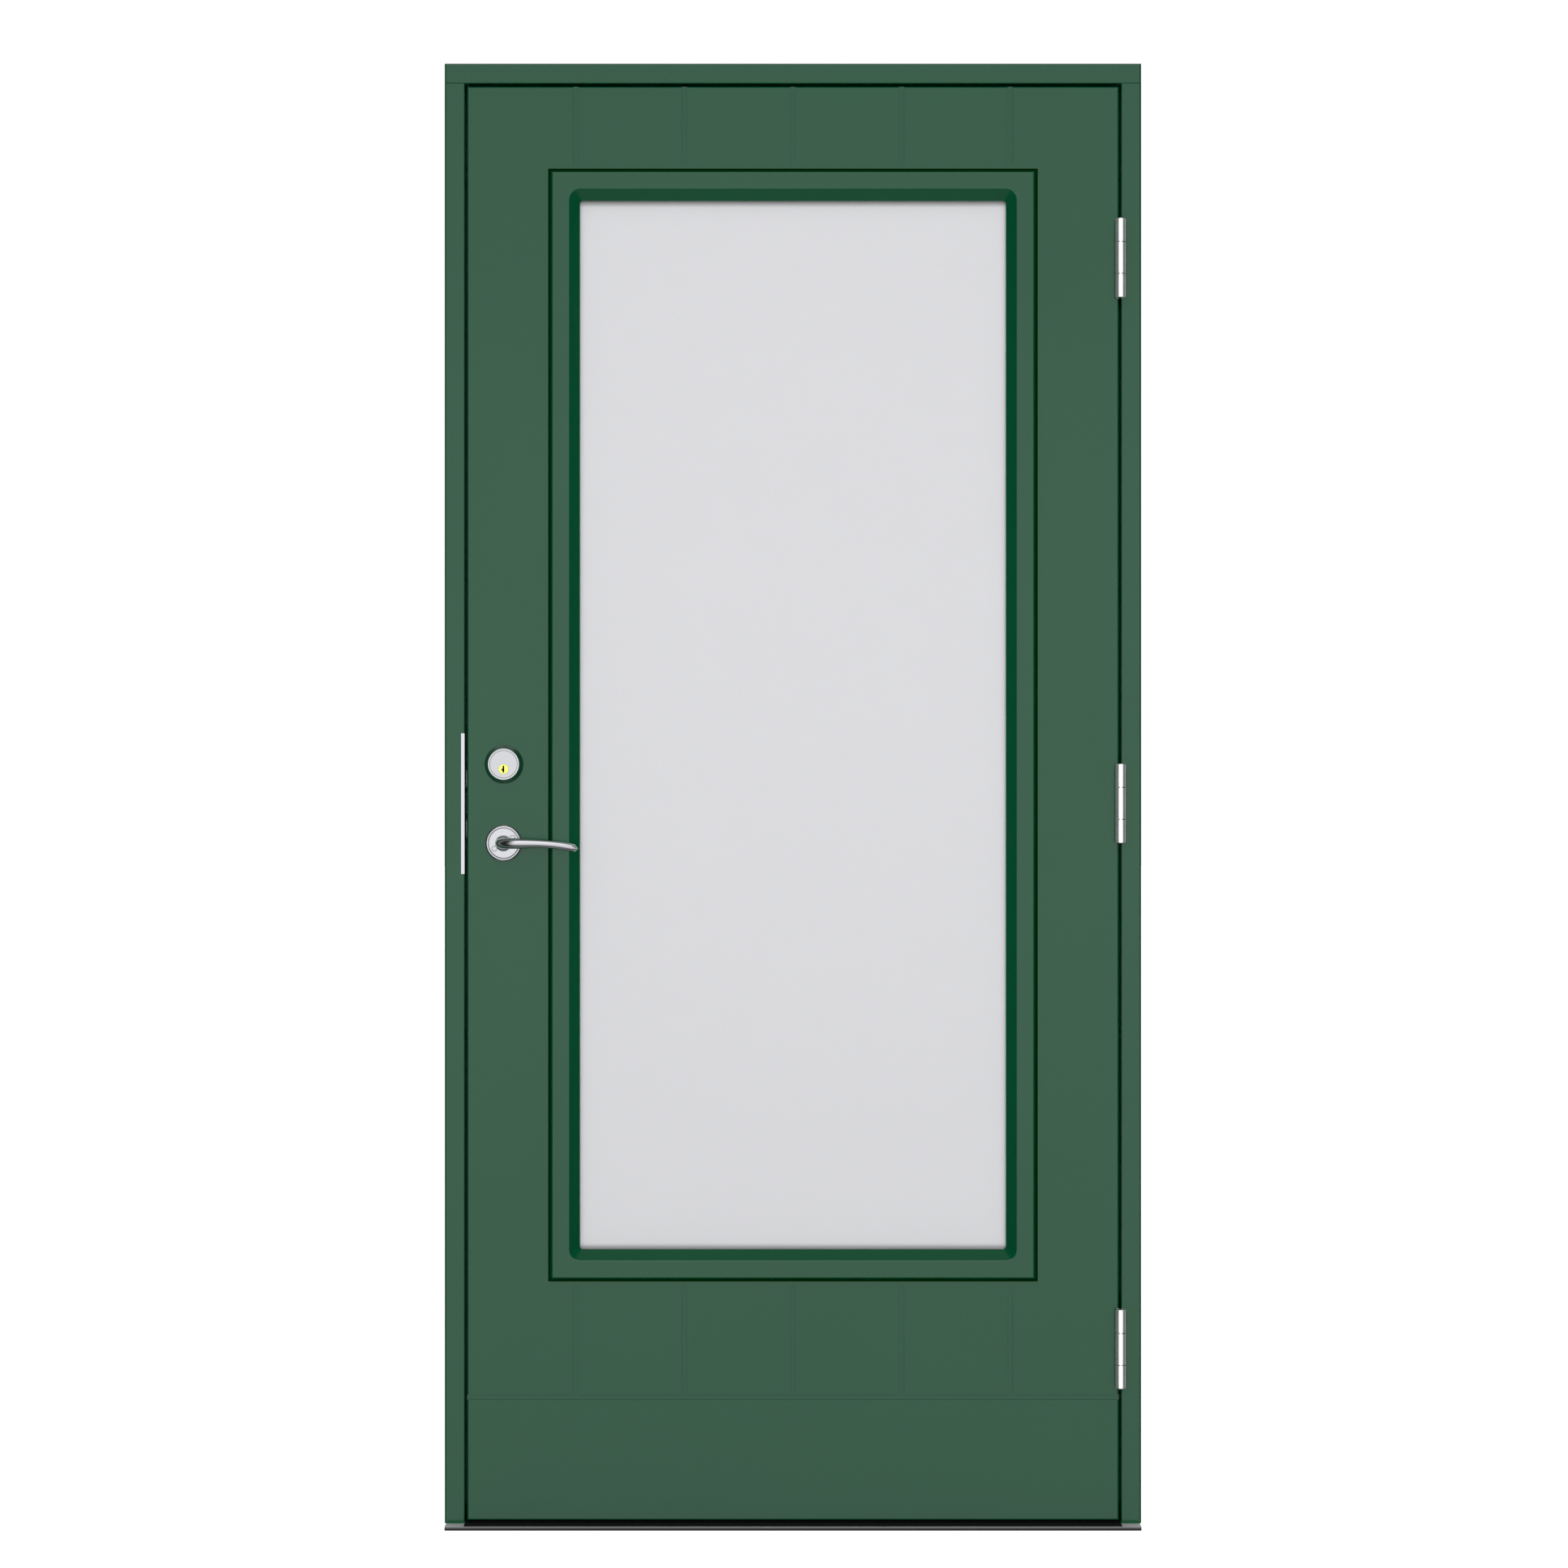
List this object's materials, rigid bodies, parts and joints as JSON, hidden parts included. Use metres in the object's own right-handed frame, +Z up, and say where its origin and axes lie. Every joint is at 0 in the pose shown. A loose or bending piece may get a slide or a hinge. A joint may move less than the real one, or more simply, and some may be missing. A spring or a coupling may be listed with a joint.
{
  "type": "glazed front door with frame",
  "caption": "Outward-opening front door in its frame, with a tall frosted pane, a grooved green leaf, lever handle, key cylinder, turn knob, knuckle hinges and a low sill.",
  "frame": {"origin": "middle of the sill's underside, at half the depth of the jambs", "axes": "+X to the hinge side, +Y indoors, +Z up; outdoors is -Y"},
  "size_m": [0.99, 0.1662, 2.08],
  "materials": {
    "green_paint": "satin paint on board and timber",
    "black_composite": "moulded",
    "black_rubber": "extruded",
    "sill_aluminium": "anodised",
    "spacer_aluminium": "mill finish",
    "satin_steel": "satin",
    "polished_chrome": "polished",
    "zinc_steel": "zinc plated",
    "plug_brass": "turned",
    "pine": "planed",
    "foam": "rigid foam",
    "frosted_glass": "acid etched",
    "clear_glass": "float"
  },
  "bodies": {
    "frame": {"lock_jamb": "green_paint", "hinge_jamb": "green_paint", "head": "green_paint", "sill_pad": "black_rubber", "sill_plate": "sill_aluminium", "sill_tread": "black_composite", "sill_stop": "black_composite", "frame_gasket": "black_rubber", "strike_plate": "satin_steel", "strike_box": "black_composite", "strike_screws": "satin_steel", "fixing_sleeves": "zinc_steel", "corner_screws": "zinc_steel", "hinge_bottom_frame_leaf": "satin_steel", "hinge_middle_frame_leaf": "satin_steel", "hinge_top_frame_leaf": "satin_steel", "hinge_pins": "satin_steel", "hinge_frame_screws": "satin_steel"},
    "leaf": {"outer_skin": "green_paint", "inner_skin": "green_paint", "outer_glazing_frame": "green_paint", "inner_glazing_frame": "green_paint", "lock_stile": "green_paint", "hinge_stile": "green_paint", "top_rail": "green_paint", "bottom_rail": "green_paint", "setting_blocks": "black_composite", "glazing_seals": "black_rubber", "pane_spacers": "spacer_aluminium", "hinge_bottom_door_leaf": "satin_steel", "hinge_middle_door_leaf": "satin_steel", "hinge_top_door_leaf": "satin_steel", "hinge_leaf_screws": "satin_steel", "lock_faceplate": "satin_steel", "glazing_screws": "satin_steel", "cylinder_body": "satin_steel", "outer_rose": "polished_chrome", "inner_rose": "polished_chrome", "cylinder_ring": "polished_chrome", "turn_rose": "polished_chrome", "lock_screws": "polished_chrome", "cylinder_bolts": "polished_chrome", "lock_case": "zinc_steel", "lock_cover": "zinc_steel", "glazing_liner": "pine", "leaf_core": "foam", "outer_pane": "frosted_glass", "middle_pane": "clear_glass", "inner_pane": "clear_glass"},
    "handle": {"outer_lever": "polished_chrome", "inner_lever": "polished_chrome", "spindle": "zinc_steel", "handle_follower": "zinc_steel"},
    "latch": {"latch_bolt": "satin_steel", "latch_spring": "zinc_steel"},
    "turn": {"turn_knob": "polished_chrome", "turn_hub": "zinc_steel"},
    "deadbolt": {"deadbolt": "satin_steel"},
    "plug": {"key_plug": "plug_brass"}
  },
  "joints": [
    {"name": "leaf_swing", "type": "hinge", "parent": "frame", "child": "leaf", "pos_m": [0.46475, -0.061, 1.0285], "axis": [0, 0, 1], "range_deg": [0, 170]},
    {"name": "handle_turn", "type": "hinge", "parent": "leaf", "child": "handle", "pos_m": [-0.4105, -0.0225, 0.972], "axis": [0, 1, 0], "range_deg": [0, 45], "stiffness_Nm_per_rad": 1.5, "springref_deg": -28.65},
    {"name": "latch_slide", "type": "slide", "parent": "leaf", "child": "latch", "axis": [1, 0, 0], "range_m": [0, 0.012], "deforming": ["latch_spring"]},
    {"name": "turn_knob_turn", "type": "hinge", "parent": "leaf", "child": "turn", "pos_m": [-0.4105, -0.0225, 1.077], "axis": [0, 1, 0], "range_deg": [0, 90]},
    {"name": "deadbolt_slide", "type": "slide", "parent": "leaf", "child": "deadbolt", "axis": [-1, 0, 0], "range_m": [0, 0.02]},
    {"name": "key_plug_turn", "type": "hinge", "parent": "leaf", "child": "plug", "pos_m": [-0.4105, -0.0225, 1.077], "axis": [0, 1, 0], "range_deg": [-90, 90]}
  ],
  "couplings": [
    {"joint": "latch_slide", "follows": "handle_turn", "m_per_rad": 0.01527},
    {"joint": "deadbolt_slide", "follows": "turn_knob_turn", "m_per_rad": 0.01273}
  ]
}
